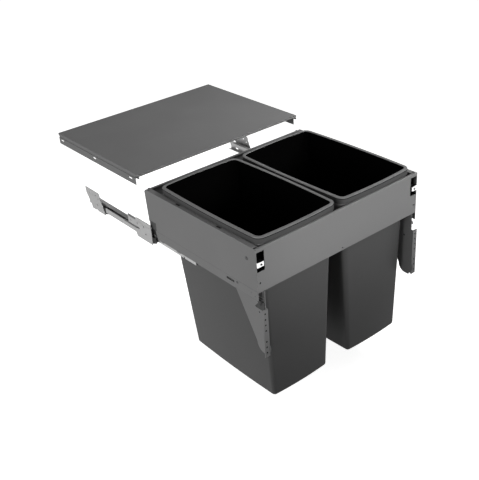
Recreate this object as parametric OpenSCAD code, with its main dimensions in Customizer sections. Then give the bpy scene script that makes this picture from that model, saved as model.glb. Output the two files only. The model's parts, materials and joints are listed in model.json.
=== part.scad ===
// Pull-out frame with two waste bins for a kitchen base cabinet, drawn out on its rails.
// X runs across the cabinet, +Y into it and +Z up. The origin lies on the front panel's
// face, midway between the two small screw holes below its windows.

/* [Cabinet] */
// Clear width between the cabinet's side walls
cabinet_w = 562; // [556:1:572]
// Gap from a cabinet wall to the frame's side panel
side_gap = 6; // [5:0.5:7]
/* [Frame] */
// Depth of the frame from front panel to rear panel
frame_d = 444; // [430:1:470]
// How much further the frame slides than it is deep
over_travel = 2; // [0:0.5:8]
// Height of the front and side panels
frame_h = 113; // [108:1:125]
// How much lower the front panel reaches than the side panels
front_reach = 3; // [0:0.5:4]
// Thickness of the painted sheet steel
sheet = 1.5; // [1.2:0.1:1.8]
// Depth of the panels' folded top edge
fold_w = 9; // [6:0.5:11]
// Outer radius of a fold in the sheet
fold_r = 2.4; // [2:0.1:3]
// Depth of the bin shelf below the panels' top edge
shelf_drop = 31; // [26:0.5:40]
// Height of the side strip below the side panel
strip_h = 23; // [18:0.5:23.5]
// Cut at the side panel's rear top corner
rear_r = 6; // [3:0.5:10]
// Slant of the side panel's rear edge
rear_slant = 5; // [0:0.5:10]
/* [Front windows] */
// Width of a corner window
window_w = 23; // [20:0.5:26]
// Height of a corner window
window_h = 52; // [40:0.5:56]
// Distance of a window below the panel's top edge
window_drop = 9; // [6:0.5:14]
// Depth of the black insert behind a window
insert_d = 12; // [9:0.5:12.5]
// Width of the light clip in a window
clip_w = 20; // [15:0.5:20]
// Height of the clip
clip_h = 13; // [11:0.5:18]
// Depth of the clip's top below the window's top
clip_drop = 25.5; // [14:0.5:27]
// How far the clip's face lies ahead of the front panel's face
clip_ahead = 2.7; // [2.6:0.1:4]
// How far the clip reaches out beyond the side panel's inner face
clip_reach = 1; // [0:0.1:1.4]
// Distance of the clip's screw from its inner edge
clip_screw_in = 8; // [6:0.5:10]
// Thickness of the clip
clip_t = 2; // [1.5:0.1:2.5]
// Distance of the two screw holes from the side panels' inner faces
front_hole_edge = 7.5; // [6:0.5:12]
// Depth of those holes below the panel's top edge
front_hole_drop = 91; // [80:1:100]
// Diameter of the front panel's screw holes
front_hole_d = 5; // [4:0.5:6]
/* [Bins] */
// Gap between a side panel and the rim beside it
bin_side_gap = 14.3; // [13.5:0.1:18]
// Depth of a bin over its rim
bin_d = 391.5; // [360:0.5:400]
// Height of a bin
bin_h = 481; // [440:0.1:520]
// Gap between the two rims
bin_gap = 15.6; // [12:0.1:30]
// Setback of the rims behind the front panel's face
bin_setback = 8; // [7:0.1:14]
// Height of the rim above the panels' top edge
rim_rise = 17.6; // [12:0.1:25]
// Gap between the rim's skirt and the panels' top edge below it
skirt_gap = 0.4; // [0.2:0.1:2]
// How far the middle of a rim's side bows out
bin_bow = 4; // [0:0.5:4]
// Depth of the fine groove round the rim, below its top
rim_groove_drop = 2.4; // [2.2:0.2:8]
// Radius of the rim's corners
rim_r = 22; // [16:1:30]
// Width of the rim from its outer edge to the opening
rim_w = 9.2; // [8.5:0.1:11]
// Wall thickness of the bins
bin_wall = 2.2; // [1.8:0.1:2.8]
// How much narrower the bottom is at the outer side
taper_side = 25.1; // [10:0.1:30]
// How much narrower the bottom is towards the other bin
taper_mid = 24.8; // [10:0.1:30]
// How much the front wall leans in
taper_front = 4.5; // [0:0.5:20]
// How much the rear wall leans in
taper_rear = 44.8; // [10:0.1:50]
/* [Bin collars] */
// Thickness of the collars' sheet
collar_t = 1.2; // [1:0.1:1.5]
// Distance of the first notch from the rim's front edge
notch_setback = 151.8; // [140:0.2:160]
// Distance between the two notches
notch_pitch = 166; // [150:1:175]
// Width of a notch
notch_w = 8; // [5:0.5:12]
// Height of a notch
notch_h = 12; // [8:0.5:14]
/* [Lid] */
// Depth of the lid
lid_d = 429; // [400:1:450]
// Setback of the lid's front edge behind the shut frame's front face
lid_setback = 17.2; // [10:0.1:22]
// Height of the lid's top above the panels' top edge
lid_rise = 36.8; // [34:0.2:45]
// Thickness of the lid's sheet
lid_t = 1.2; // [1:0.1:1.5]
// Height of the lid's folded edge
lid_hem = 6.6; // [4:0.2:8]
// Recess between the lid's edge and its rail's flange
rail_recess = 4.5; // [4:0.5:8]
// Height of the recess
recess_h = 6.2; // [6:0.1:9]
// Height of the rail's screw flange
lid_flange_h = 19.8; // [16:0.2:22]
// Length of a screw slot in the flange
lid_slot_l = 16; // [10:0.5:20]
// How far behind the lid's middle the middle slot lies
lid_slot_shift = 8.5; // [0:0.5:20]
// Depth of the slots' middle line below the flange's top
lid_slot_drop = 6.4; // [5:0.1:9]
// Setback of a rail's front end behind the lid's front edge
lid_rail_back = 12; // [2:0.5:20]
// Width of the rail's lip under the lid
lid_lip = 20; // [14:1:30]
// Width of a screw slot
lid_slot_w = 4.5; // [4:0.5:6]
// Distance between neighbouring slots
lid_slot_pitch = 186; // [160:1:190]
/* [Rails] */
// Height of the cabinet rail
rail_h = 27; // [26:0.5:30]
// Depth of the rails' common centre line below the panels' top edge
rail_drop = 144; // [143.5:0.5:144.5]
// Thickness of the three rails over all
rail_w = 12.7; // [12.5:0.1:13.5]
// Sheet thickness of the rails
rail_t = 1.2; // [1:0.1:1.3]
// Length of the cabinet rail
cabinet_rail_l = 350; // [330:1:365]
// Setback of the cabinet rail from the shut frame's front face
cabinet_rail_back = -16; // [-20:1:-10]
// Length of the middle rail
middle_rail_l = 300; // [280:1:320]
// Setback of the middle rail from the shut frame's front face
middle_rail_back = 30; // [20:1:36]
// Length of the ball cage between cabinet and middle rail
outer_cage_l = 108; // [80:1:112]
// Length of the ball cage between middle and drawer rail
inner_cage_l = 160; // [120:1:170]
// Diameter of the balls
ball_d = 3; // [2.4:0.1:3]
// Depth of the groove along the cabinet rail's outer face
groove_d = 2.2; // [1.8:0.1:2.4]
// Number of balls in a row
ball_count = 6; // [3:1:8]
/* [Wall plates] */
// Height of the wall plates
plate_h = 62; // [60:0.5:70]
// Depth of the plates' top edge below the panels' top edge
plate_drop = 99; // [96:0.5:104]
// Thickness of the plates
plate_t = 1.5; // [1.2:0.1:2]
// Setback of the front wall plate from the shut frame's front face
front_plate_back = -14; // [-18:1:-10]
// Setback of the rear wall plate's rear edge from the shut frame's front face
rear_plate_back = 330; // [320:1:335]
// Length of the front wall plate
front_plate_l = 114; // [105:1:130]
// Length of the rear wall plate at its top
rear_plate_l = 76; // [70:1:90]
// Diameter of the cabinet screw holes
screw_hole_d = 5; // [4:0.5:6]
// Distance between the plates' screw holes
screw_pitch = 32; // [25:1:37]
// Radius of the small pin holes in the plates
pin_hole_r = 1.2; // [0.8:0.1:1.5]
// Depth of the strap below the plates' top edge
strap_drop = 35; // [32:0.5:38]
// Height of the strap that runs back along the rail
strap_h = 15.5; // [12:0.5:16]
/* [Door brackets] */
// Distance of the bracket's flange in front of the front panel
flange_ahead = 10; // [6:0.5:14]
// Width of the flange
flange_w = 15.5; // [14:0.5:16]
// Height of the flange
flange_h = 137; // [134:1:150]
// Depth of the flange's top below the panels' top edge
flange_drop = 161; // [159:0.5:162]
// Height of the bracket's plate
bracket_h = 188; // [185:1:200]
// Depth of the bracket's plate at its top
bracket_top = 129; // [115:1:140]
// Depth of the bracket's plate at its bottom
bracket_bottom = 37; // [30:1:50]
// Distance between the flange's holes
hole_pitch = 16; // [15:0.5:16.5]
// Diameter of the flange's holes
flange_hole_d = 5; // [4:0.5:6]

/* [Hidden] */
$fn = 48;

// Small distances that pieces keep from each other
slip = 0.05;
fit = 0.3;
rim_seat = 0.2;
// Steps in which a bin's outline is drawn
bow_steps = 8;
corner_steps = 6;
// Heights
top_z = front_hole_drop;
panel_bottom = top_z - frame_h;
shelf_z = top_z - shelf_drop;
rim_z = top_z + rim_rise;
skirt_h = rim_rise - skirt_gap;
lid_z = top_z + lid_rise;
rail_z = top_z - rail_drop;
carrier_z = top_z - 0.88 * frame_h;
plate_z = top_z - plate_drop;
flange_z = top_z - flange_drop;
strip_gap = 1;
holder_ahead = 8;
strip_bottom = panel_bottom - strip_gap - strip_h;
// Places across the cabinet, as distances from its middle
wall_x = cabinet_w / 2;
side_x = wall_x - side_gap;
panel_in = side_x - sheet;
rail_x = panel_in - 1;
rail_in = rail_x - rail_w;
bracket_x = rail_in - sheet;
bracket_in = bracket_x - sheet;
rim_in = bin_gap / 2;
rim_out = panel_in - bin_side_gap;
// Places along the cabinet
travel = frame_d + over_travel;
shut = travel;
cabinet_rail_y = shut + cabinet_rail_back;
cabinet_rail_end = cabinet_rail_y + cabinet_rail_l;
middle_rail_y = travel / 2 + middle_rail_back;
middle_rail_end = middle_rail_y + middle_rail_l;
drawer_rail_y = 0.5;
drawer_rail_end = frame_d - sheet;
outer_cage_y = (cabinet_rail_y + middle_rail_end - outer_cage_l) / 2;
inner_cage_y = (middle_rail_y + drawer_rail_end - inner_cage_l) / 2;
lid_y = lid_setback + travel;
rim_y = bin_setback;
rim_end = rim_y + bin_d;
front_fold = min(fold_w, rim_y + bin_wall - bin_bow);
foot_r = 10;
front_plate_y = shut + front_plate_back;
front_plate_end = front_plate_y + front_plate_l;
rear_plate_end = shut + rear_plate_back;
rear_plate_y = rear_plate_end - rear_plate_l;
// Windows and their inserts
window_in = panel_in - window_w;
window_z = top_z - window_drop;
clip_hole_drop = clip_h / 2;
insert_wall = 2.5;
// Ball races, from the rails' centre line outwards and from the outer face inwards
race_out = rail_h / 2 - rail_t;
middle_race = race_out - ball_d - 2 * slip;
middle_inner = middle_race - rail_t;
drawer_race = middle_inner - ball_d - 2 * slip;
outer_ball_v = race_out - slip - ball_d / 2;
inner_ball_v = middle_inner - slip - ball_d / 2;
// Depths into the rail, measured from its outer face towards the middle
cage_t = 0.6;
web_gap = 0.35;
outer_cage_u = groove_d + rail_t + web_gap;
middle_web_u = outer_cage_u + cage_t + web_gap;
inner_cage_u = middle_web_u + rail_t + web_gap;
drawer_lip_u = inner_cage_u + cage_t + web_gap;
middle_lip_u = rail_w - rail_t - web_gap;
cabinet_lip_u = middle_lip_u - 0.3;
outer_ball_u = outer_cage_u + 0.5 + ball_d / 2;
inner_ball_u = drawer_lip_u + ball_d / 2;
cage_wing = 0.8;
// Groove along the cabinet rail's outer face
groove_top = rail_z + rail_h / 2 - 3.5;
groove_bottom = rail_z - 0.5;

painted = "#6f7072";
dark_painted = "#5f6062";
zinc = "#b0b2b4";
black = "#1d1d1e";
bin_grey = "#3c3d3e";

// Profile in X and Z, drawn out along Y
module along_y(y0, y1) {
    translate([0, y1, 0]) rotate([90, 0, 0]) linear_extrude(y1 - y0) children();
}
// Profile in Y and Z, drawn out along X
module along_x(x0, x1) {
    translate([x0, 0, 0]) rotate([90, 0, 90]) linear_extrude(x1 - x0) children();
}
// The same piece on the left side
module on_left() {
    mirror([1, 0, 0]) children();
}
// Rectangle from corner to corner
module rect(a, b) {
    translate(a) square([b[0] - a[0], b[1] - a[1]]);
}
// Rectangle with round corners
function bow_side(p, q, out, bow) = [for (i = [1 : bow_steps - 1])
    p + (q - p) * i / bow_steps + 4 * bow * i * (bow_steps - i) / bow_steps / bow_steps * out];
function bow_corner(c, r, turn) = [for (i = [0 : corner_steps])
    c + r * [cos(turn + 90 * i / corner_steps), sin(turn + 90 * i / corner_steps)]];
// Rectangle with round corners whose sides bow out
module bowed_rect(a, b, r, bow) {
    p = a + [r, r];
    q = b - [r, r];
    polygon(concat(bow_corner(q, r, 0), bow_side([q[0], b[1]], [p[0], b[1]], [0, 1], bow),
        bow_corner([p[0], q[1]], r, 90), bow_side([a[0], q[1]], [a[0], p[1]], [-1, 0], bow),
        bow_corner(p, r, 180), bow_side([p[0], a[1]], [q[0], a[1]], [0, -1], bow),
        bow_corner([q[0], p[1]], r, 270), bow_side([b[0], p[1]], [b[0], q[1]], [1, 0], bow)));
}
module round_rect(a, b, r) {
    rect([a[0] + r, a[1]], [b[0] - r, b[1]]);
    rect([a[0], a[1] + r], [b[0], b[1] - r]);
    for (x = [a[0] + r, b[0] - r], y = [a[1] + r, b[1] - r])
        translate([x, y]) circle(r);
}
// Slot with round ends, centred on a point
module slot(c, l, w) {
    translate(c) {
        square([l - w, w], center = true);
        for (s = [-1, 1]) translate([s * (l - w) / 2, 0]) circle(w / 2);
    }
}
// Sheet folded once: a leg down and a leg back from the outer corner at the origin
module folded(down, back, t, r) {
    rect([0, -down], [t, -r]);
    rect([r, -t], [back, 0]);
    intersection() {
        translate([r, -r]) difference() {
            circle(r);
            circle(r - t);
        }
        rect([0, -r], [r, 0]);
    }
}

// Lid between the cabinet walls, above the shut bins
module lid_panel() {
    color(dark_painted) {
        difference() {
            union() {
                translate([0, 0, lid_z - lid_t]) linear_extrude(lid_t)
                    rect([-wall_x, lid_y], [wall_x, lid_y + lid_d]);
                for (s = [0, 1]) mirror([s, 0, 0])
                    translate([wall_x - lid_t, lid_y, lid_z - lid_hem])
                        cube([lid_t, lid_d, lid_hem]);
                for (y = [lid_y, lid_y + lid_d - lid_t])
                    translate([-wall_x, y, lid_z - lid_hem])
                        cube([2 * wall_x, lid_t, lid_hem]);
            }
            for (s = [0, 1]) mirror([s, 0, 0]) along_y(lid_y - 1, lid_y + lid_d + 1)
                translate([wall_x, lid_z]) corner_cut(lid_t / 2);
            along_x(-wall_x - 1, wall_x + 1) {
                translate([lid_y, lid_z]) mirror([1, 0]) corner_cut(lid_t / 2);
                translate([lid_y + lid_d, lid_z]) corner_cut(lid_t / 2);
            }
        }
    }
}
// What a rounding of radius r takes off an outer corner at the origin
module corner_cut(r) {
    difference() {
        rect([-r, -r], [1, 1]);
        translate([-r, -r]) circle(r);
        rect([-r - 1, -r - 1], [-r, 0]);
        rect([-r - 1, -r - 1], [0, -r]);
    }
}

// Folded rail under the lid's edge, with the slots for the cabinet screws
module lid_rail() {
    under = lid_z - lid_t;
    neck = wall_x - rail_recess;
    flange_top = lid_z - lid_hem - recess_h;
    slot_z = flange_top - lid_slot_drop;
    color(dark_painted) difference() {
        along_y(lid_y + lid_rail_back, lid_y + lid_d - lid_t - fit) {
            rect([neck - lid_lip, under - lid_t], [neck, under]);
            rect([neck - lid_t, flange_top - lid_t], [neck, under]);
            rect([neck - lid_t, flange_top - lid_t], [wall_x, flange_top]);
            rect([wall_x - lid_t, flange_top - lid_flange_h], [wall_x, flange_top]);
        }
        along_x(wall_x - 2 * lid_t, wall_x + lid_t) for (i = [-1, 0, 1])
            slot([lid_y + lid_d / 2 + lid_slot_shift + i * lid_slot_pitch, slot_z],
                lid_slot_l, lid_slot_w);
    }
}

// Soft bumpers on the front ends of the lid's rails
module lid_bumper() {
    z = lid_z - lid_hem - recess_h / 2;
    head_d = 5;
    stem_d = 3;
    stem_l = 10;
    x = wall_x - rail_recess + stem_d / 2;
    color(black) translate([x, lid_y + lid_rail_back, z]) rotate([90, 0, 0]) {
        translate([0, 0, -stem_l]) cylinder(h = stem_l, d = stem_d);
        cylinder(h = lid_rail_back, d = head_d);
    }
}
module lid_bumpers() {
    lid_bumper();
    on_left() lid_bumper();
}

// Rear wall plate with its slanted front edge and stepped foot
module rear_wall_plate() {
    y0 = rear_plate_y;
    y1 = rear_plate_end;
    foot = plate_z - plate_h;
    slant = 24;
    nose_r = 6;
    step = 10;
    waist = plate_z - 19;
    hole_y = y0 + 22;
    color(zinc) along_x(wall_x - plate_t, wall_x) difference() {
        union() {
            polygon([[y1, plate_z], [y0 + nose_r, plate_z], [y0, plate_z - nose_r],
                [y0 - 2, plate_z - 15], [y0 - slant, foot], [y1 - slant - 2, foot],
                [y1 - slant, foot + step], [y1 - 1, waist]]);
            translate([y0 + nose_r, plate_z - nose_r]) circle(nose_r);
        }
        translate([y0 + slant, foot - nose_r / 2]) circle(nose_r);
        for (i = [0, 1]) translate([hole_y + i * screw_pitch, plate_z - 12])
            circle(screw_hole_d / 2);
        translate([y0 + 8, plate_z - 20]) circle(2);
        translate([y0 + 16, plate_z - 42]) circle(screw_hole_d / 2);
        translate([hole_y + screw_pitch / 2, plate_z - 14]) circle(pin_hole_r);
    }
}

// Front wall plate with its strap along the rail, its long slot and rows of small holes
module front_wall_plate() {
    y0 = front_plate_y;
    y1 = front_plate_end;
    foot = plate_z - plate_h;
    strap_top = plate_z - strap_drop;
    strap_bottom = strap_top - strap_h;
    back = rear_plate_y - 30;
    brow = 5;
    foot_w = 72;
    hole_y = y0 + 36;
    color(zinc) along_x(wall_x - plate_t, wall_x) difference() {
        polygon([[y0, plate_z - 2], [y0 + foot_w - 4, plate_z - 2], [y0 + foot_w - 2, plate_z - brow],
            [y1 - 2, plate_z - brow], [y1, plate_z - brow - 3], [y1, strap_top], [back, strap_top],
            [back, strap_bottom], [y0 + foot_w + 8, strap_bottom], [y0 + foot_w + 4, foot + 3],
            [y0 + foot_w, foot], [y0, foot]]);
        slot([y1 - 24, strap_top + 1.5], 62, 4.5);
        slot([y0 + 96, plate_z - 10], 30, 3);
        for (i = [0, 1]) translate([hole_y + i * screw_pitch, plate_z - 20])
            circle(screw_hole_d / 2);
        for (i = [0:4]) translate([y0 + 12 + 7 * i, plate_z - 15]) circle(pin_hole_r);
        for (i = [0:3]) translate([y0 + 46 + 6 * i, plate_z - 12]) circle(pin_hole_r);
        translate([y0 + 29, plate_z - 40]) circle(screw_hole_d / 2);
        translate([y0 + 100, plate_z - 22]) circle(screw_hole_d / 2);
    }
}

// Outline of a rail that opens towards the middle of the cabinet
module channel(u0, u1, half) {
    rect([rail_x - u0 - rail_t, rail_z - half], [rail_x - u0, rail_z + half]);
    for (s = [-1, 1]) {
        v = rail_z + s * (half - rail_t / 2);
        rect([rail_x - u1, v - rail_t / 2], [rail_x - u0, v + rail_t / 2]);
    }
}

// Outer rail, fixed to the cabinet through the wall plates, with a groove along its face
module cabinet_rail() {
    half = rail_h / 2;
    lip = 1;
    color(zinc) difference() {
        along_y(cabinet_rail_y, cabinet_rail_end) {
            difference() {
                union() {
                    channel(0, cabinet_lip_u, half);
                    rect([rail_x - groove_d - rail_t, groove_bottom - rail_t],
                        [rail_x, groove_top + rail_t]);
                }
                rect([rail_x - groove_d, groove_bottom], [rail_x + 1, groove_top]);
            }
            for (s = [-1, 1]) {
                v = rail_z + s * (half - rail_t - lip / 2);
                rect([rail_x - cabinet_lip_u, v - lip / 2],
                    [rail_x - cabinet_lip_u + lip, v + lip / 2]);
            }
        }
        along_x(rail_x - 2 * rail_t, rail_x + rail_t) for (i = [0:3])
            slot([cabinet_rail_y + (i + 0.65) * cabinet_rail_l / 4, (groove_bottom + rail_z - half) / 2],
                14, screw_hole_d);
    }
}

// Moulded holders between the wall plates and the cabinet rail
module rail_holders() {
    holder(front_plate_y - holder_ahead, 30);
    holder(rear_plate_y - 34, 34);
}
module holder(y, l) {
    z0 = rail_z - rail_h / 2 + 1;
    z1 = strip_bottom - 1.5;
    nose = 1.5;
    color(black) translate([0, 0, z0]) linear_extrude(z1 - z0)
        polygon([[rail_x, y], [rail_x + nose, y], [wall_x - plate_t, y + holder_ahead],
            [wall_x - plate_t, y + l], [rail_x, y + l]]);
}

// Flat soft-close housing in the groove of the cabinet rail
module damper() {
    y0 = front_plate_end - 6;
    y1 = rear_plate_y - 26;
    z0 = groove_bottom + slip * 4;
    z1 = groove_top - slip * 4;
    face = rail_x - slip * 4;
    pocket = 10;
    color(black) difference() {
        along_x(rail_x - groove_d, face) rect([y0, z0], [y1, z1]);
        along_x(face - 0.8, face + 1) for (i = [0:6])
            translate([y0 + 8 + i * (y1 - y0 - 16 - pocket) / 6, z0 + 2]) square([pocket, z1 - z0 - 4]);
    }
}

// Middle rail, which carries the frame at half its travel
module middle_rail() {
    notch = 48;
    notch_l = 5;
    color(zinc) difference() {
        along_y(middle_rail_y, middle_rail_end)
            channel(middle_web_u, middle_lip_u, middle_race);
        along_x(rail_x - rail_w, rail_x)
            translate([middle_rail_y + notch, rail_z - middle_race]) square([notch_l, notch_l]);
        along_x(rail_x - rail_w, rail_x)
            for (i = [1:3]) slot([middle_rail_y + i * middle_rail_l / 4, rail_z], 18, 6);
    }
}

// Inner rail, fixed to the frame's carrier, open towards the cabinet wall
module drawer_rail() {
    u0 = drawer_lip_u;
    color(zinc) difference() {
        along_y(drawer_rail_y, drawer_rail_end) {
            rect([rail_in, rail_z - drawer_race], [rail_in + rail_t, rail_z + drawer_race]);
            for (s = [-1, 1]) {
                v = rail_z + s * (drawer_race - rail_t / 2);
                rect([rail_in, v - rail_t / 2], [rail_x - u0, v + rail_t / 2]);
            }
        }
        along_x(rail_in - 1, rail_in + rail_t + 1)
            for (i = [1:4]) translate([drawer_rail_end * i / 5, rail_z]) circle(screw_hole_d / 2);
    }
}

// Cage: a thin strip whose wings hold two rows of balls
module cage(y0, l, u, half, wing_u, ball_u) {
    color(zinc) difference() {
        along_y(y0, y0 + l) {
            rect([rail_x - u - cage_t, rail_z - half], [rail_x - u, rail_z + half]);
            for (s = [-1, 1]) {
                v = rail_z + s * (half - cage_wing / 2);
                rect([rail_x - wing_u, v - cage_wing / 2], [rail_x - u, v + cage_wing / 2]);
            }
        }
        for (i = [0 : ball_count - 1])
            translate([rail_x - ball_u, ball_y(y0, l, i), rail_z - half - 1])
                cylinder(h = 2 * half + 2, d = ball_d + 0.3);
    }
}
function ball_y(y0, l, i) = y0 + l * (i + 0.5) / ball_count;
module balls(y0, l, ball_u, ball_v) {
    color("silver") for (i = [0 : ball_count - 1], s = [-1, 1])
        translate([rail_x - ball_u, ball_y(y0, l, i), rail_z + s * ball_v]) sphere(d = ball_d);
}
module outer_cage() {
    cage(outer_cage_y, outer_cage_l, outer_cage_u, outer_ball_v + cage_wing / 2,
        outer_ball_u + ball_d / 2 + 0.6, outer_ball_u);
}
module outer_balls() {
    balls(outer_cage_y, outer_cage_l, outer_ball_u, outer_ball_v);
}
module inner_cage() {
    cage(inner_cage_y, inner_cage_l, inner_cage_u, inner_ball_v + cage_wing / 2,
        inner_ball_u + ball_d / 2, inner_ball_u);
}
module inner_balls() {
    balls(inner_cage_y, inner_cage_l, inner_ball_u, inner_ball_v);
}

// Front panel with its folded top, corner windows and screw holes
module front_panel() {
    color(painted) difference() {
        along_x(-panel_in, panel_in) translate([0, top_z])
            folded(frame_h + front_reach, front_fold, sheet, fold_r);
        along_y(-1, insert_d) {
            for (s = [0, 1]) mirror([s, 0])
                rect([window_in, window_z - window_h], [panel_in + 1, window_z]);
            for (s = [-1, 1]) translate([s * (panel_in - front_hole_edge), top_z - front_hole_drop])
                circle(front_hole_d / 2);
            translate([0, panel_bottom + 3.5]) circle(2);
        }
    }
}

// Side panel with a slanted rear edge, a cut corner at its foot and a folded top
module side_panel() {
    end = frame_d + rear_slant;
    notch_z = top_z - 0.82 * frame_h;
    fold_y = fold_w + 4;
    color(painted) difference() {
        union() {
            along_x(panel_in, side_x) difference() {
                polygon([[0, panel_bottom], [0, top_z - 1], [1, top_z], [end - rear_r, top_z],
                    [end, top_z - rear_r], [frame_d, notch_z], [frame_d - 14, notch_z],
                    [frame_d - 26, panel_bottom]]);
                translate([2 * fold_y + 8, top_z - 35]) circle(screw_hole_d / 2);
            }
            translate([0, 0, top_z - sheet]) linear_extrude(sheet)
                rect([panel_in - fold_w, fold_y], [panel_in + sheet / 2, frame_d - fold_y + 1]);
        }
        along_y(-1, end + 1) translate([side_x, top_z]) corner_cut(sheet / 2);
    }
}

// Rear panel with a folded top
module rear_panel() {
    color(painted) along_x(-panel_in, panel_in)
        translate([frame_d, top_z]) mirror([1, 0]) folded(frame_h, fold_w, sheet, fold_r);
}

// Outline inside which a bin's body hangs
module collar_outline(grow) {
    a = bin_wall + fit;
    bowed_rect([rim_in + a - grow, rim_y + a - grow], [rim_out - a + grow, rim_end - a + grow],
        rim_r - a + grow, bin_bow);
}

// Shelf that closes the frame round the two collars
module bin_shelf() {
    color(painted) translate([0, 0, shelf_z - sheet]) linear_extrude(sheet) difference() {
        rect([-panel_in, sheet], [panel_in, frame_d - sheet]);
        for (s = [0, 1]) mirror([s, 0]) {
            collar_outline(0);
            rect([window_in - 1, 0], [side_x, insert_d + 1.5]);
        }
    }
}

// Upright collar round a bin opening, on whose edge the rim rests
module bin_collar() {
    rest_z = rim_z - bin_wall - rim_seat;
    notch_top = top_z - 8;
    color(painted) difference() {
        translate([0, 0, shelf_z - sheet]) linear_extrude(rest_z - shelf_z + sheet) difference() {
            collar_outline(0);
            collar_outline(-collar_t);
        }
        along_x(rim_out - 4 * bin_wall, rim_out + bin_bow) for (i = [0, 1])
            translate([rim_y + notch_setback + i * notch_pitch - notch_w / 2, notch_top - notch_h])
                square([notch_w, notch_h]);
    }
}

// Strip below the side panel that covers the rails, with a slot near its front
module side_strip() {
    end = frame_d - 34;
    slant = 8;
    color(painted) along_x(panel_in, side_x) difference() {
        polygon([[0, strip_bottom], [0, panel_bottom], [end + slant, panel_bottom], [end, strip_bottom]]);
        slot([102, panel_bottom - 9], 30, 6);
        translate([11, panel_bottom - 16]) circle(pin_hole_r);
        translate([25, panel_bottom - 11]) circle(pin_hole_r);
    }
}

// Angle that ties the drawer rail and the bracket to the side panel
module runner_carrier() {
    color(painted) {
        along_x(bracket_x, rail_in)
            rect([sheet + fit, rail_z - drawer_race], [frame_d - sheet, carrier_z]);
        translate([bracket_x, sheet + fit, carrier_z - sheet])
            cube([panel_in - bracket_x, frame_d - 2 * sheet - 28, sheet]);
    }
}

// Door bracket: a tapered plate with a flange that is screwed to the door
module door_bracket() {
    top = panel_bottom - 1;
    foot = top - bracket_h;
    front = flange_ahead - sheet;
    ear = 3;
    foot_r = 24;
    nose_z = top - front_reach;
    collar_l = 3;
    color(painted) {
        along_x(bracket_in, bracket_x) difference() {
            union() {
                polygon([[-ear, nose_z], [sheet + fit, nose_z], [sheet + fit, top], [bracket_top, top],
                    [bracket_bottom, foot + 28], [bracket_bottom - 2, foot + foot_r],
                    [bracket_bottom - foot_r - 2, foot], [0, foot], [-ear, foot + 2 * ear]]);
                translate([bracket_bottom - foot_r - 2, foot + foot_r]) circle(foot_r);
                rect([-front, flange_z - flange_h], [0, flange_z]);
            }
            translate([-ear - 1, flange_z - flange_h]) circle(flange_hole_d / 2);
            translate([20, flange_z - 24]) circle(2.2);
        }
        difference() {
            union() {
                along_y(-flange_ahead, -front)
                    round_rect([bracket_in, flange_z - flange_h], [bracket_in + flange_w, flange_z], 1);
                along_y(-front - 0.1, -front + collar_l) flange_holes(flange_hole_d / 2 + 1);
            }
            along_y(-flange_ahead - 1, 0) flange_holes(flange_hole_d / 2);
        }
    }
}
// Row of the flange's holes, drawn with radius r
module flange_holes(r) {
    for (i = [0, 1, 2, 3, 5, 6, 7])
        translate([bracket_in + flange_w / 2 + 1, flange_z - 12 - i * hole_pitch]) circle(r);
}

// Flat moulded height adjuster on the bracket's outer face, below the drawer rail
module adjuster() {
    top = rail_z - drawer_race - 0.5;
    foot = flange_z - 13;
    front = -2;
    hub = 13;
    hub_r = 8;
    dial_r = 4.5;
    face = bracket_x + 1.8;
    color(black) difference() {
        along_x(bracket_x, face) union() {
            polygon([[front, top], [hub, top], [hub + 20, foot + 2.5], [hub + 18, foot], [front, foot]]);
            translate([hub, top - hub_r]) circle(hub_r);
        }
        along_x(face - 1, face + 1) translate([hub - 2, top - hub_r - 1]) {
            difference() {
                circle(dial_r);
                circle(dial_r - 1);
            }
            square([dial_r + 0.5, 1.2], center = true);
        }
    }
}

// Catch in the front end of the drawer rail
module rail_catch() {
    half = drawer_race - rail_t - 4 * slip;
    reach = 12;
    color(black) along_x(rail_in + rail_t, rail_in + rail_w - 4) difference() {
        rect([-drawer_rail_y, rail_z - half], [reach, rail_z + half]);
        translate([-drawer_rail_y, rail_z + 1]) circle(reach / 4);
    }
}

// Black insert behind a corner window
module window_insert() {
    z0 = window_z - window_h;
    gap = 0.2;
    wall = insert_wall;
    color(black) difference() {
        along_y(0.4, insert_d) rect([window_in + gap, z0 + gap], [panel_in, window_z - gap]);
        along_y(-1, insert_d - wall)
            rect([window_in + wall, z0 + wall], [panel_in + 1, window_z - wall]);
    }
}

// Light clip that crosses the window, with a screw hole
module clip() {
    x1 = panel_in + clip_reach;
    z1 = window_z - clip_drop;
    tab = 1.6;
    tab_w = clip_w - clip_reach - fit;
    color("white") {
        along_y(-clip_ahead, clip_t - clip_ahead) difference() {
            round_rect([x1 - clip_w, z1 - clip_h], [x1, z1], 1.5);
            translate([x1 - clip_w + clip_screw_in, z1 - clip_hole_drop]) circle(2.1);
        }
        translate([x1 - clip_w, -clip_ahead, z1 - tab])
            cube([tab_w, insert_d - insert_wall + clip_ahead, tab]);
    }
}

// Screws in the clips
module clip_screws() {
    x = panel_in + clip_reach - clip_w + clip_screw_in;
    z = window_z - clip_drop - clip_hole_drop;
    head = 5.2;
    head_h = 1;
    slit = 0.8;
    color(black) for (s = [-1, 1])
        translate([s * x, -clip_ahead - head_h, z]) rotate([-90, 0, 0]) difference() {
            union() {
                cylinder(h = head_h, d = head);
                cylinder(h = head_h + clip_ahead + insert_d - insert_wall, d = 3.9);
            }
            translate([-head / 2, -slit / 2, -1]) cube([head, slit, 1 + head_h / 2]);
        }
}

// Cap at the rear end of the side profile, above the cabinet rail
module end_cap() {
    y0 = frame_d - 30;
    y1 = frame_d - 2;
    z0 = rail_z + rail_h / 2 + 1.2;
    z1 = carrier_z - sheet;
    cut = 4;
    color(black) along_x(rail_in, panel_in)
        polygon([[y0, z0], [y0, z1], [y1, z1], [y1, z0 + cut], [y1 - cut, z0]]);
}

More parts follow.
